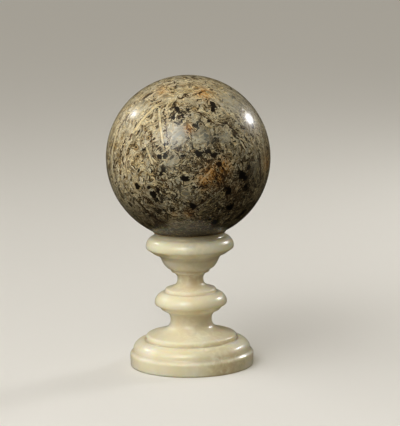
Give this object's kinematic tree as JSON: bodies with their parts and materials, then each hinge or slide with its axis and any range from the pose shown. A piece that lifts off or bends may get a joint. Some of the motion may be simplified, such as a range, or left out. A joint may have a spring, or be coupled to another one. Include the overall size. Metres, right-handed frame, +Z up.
{
  "type": "decorative stone sphere on stand",
  "caption": "Polished fossil-hash stone ball resting in the dished cup of a lathe-turned cream alabaster pedestal, a display ornament",
  "frame": {"origin": "centre of the pedestal's underside, where the ornament stands on its surface", "axes": "+Z up, along the turning axis and the tall side; the ornament is round, so X and Y are any two level directions"},
  "size_m": [0.12, 0.12, 0.2142],
  "materials": {
    "cream_alabaster": "polished",
    "fossil_stone": "high polish"
  },
  "bodies": {
    "root": {"turned_stand": "cream_alabaster", "stone_sphere": "fossil_stone"}
  },
  "joints": []
}
